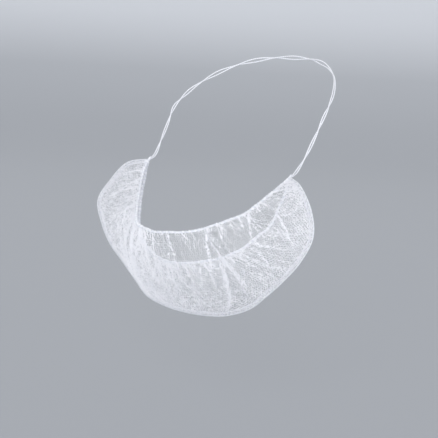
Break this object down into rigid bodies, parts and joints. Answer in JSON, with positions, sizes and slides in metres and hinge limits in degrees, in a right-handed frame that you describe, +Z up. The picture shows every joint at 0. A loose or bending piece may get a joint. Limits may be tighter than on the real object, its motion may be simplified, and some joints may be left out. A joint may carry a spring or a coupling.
{
  "type": "disposable beard net",
  "caption": "Worn beard net: a gathered net bag under the jaw with elastic mouth edges and a twin elastic head loop.",
  "frame": {"origin": "midway between the two side tacks, in the middle of the space that the head fills", "axes": "+X to the wearer's left, -Y forward out of the face, +Z up; as worn on a level head"},
  "size_m": [0.2246, 0.2029, 0.2192],
  "materials": {
    "net": "fine white knitted nylon honeycomb net, semi-transparent",
    "seam": "overlocked white nylon thread over two layers of net",
    "gathered_edge": "white net ruched over covered elastic",
    "elastic": "white covered elastic thread, slightly fuzzy",
    "tack": "bunched white net held by thread"
  },
  "bodies": {
    "root": {"net_front": "net", "net_back": "net", "edge_seam": "seam", "lip_elastic": "gathered_edge", "throat_elastic": "gathered_edge", "head_elastic_upper": "elastic", "head_elastic_lower": "elastic", "side_tack_left": "tack", "side_tack_right": "tack"}
  },
  "joints": []
}
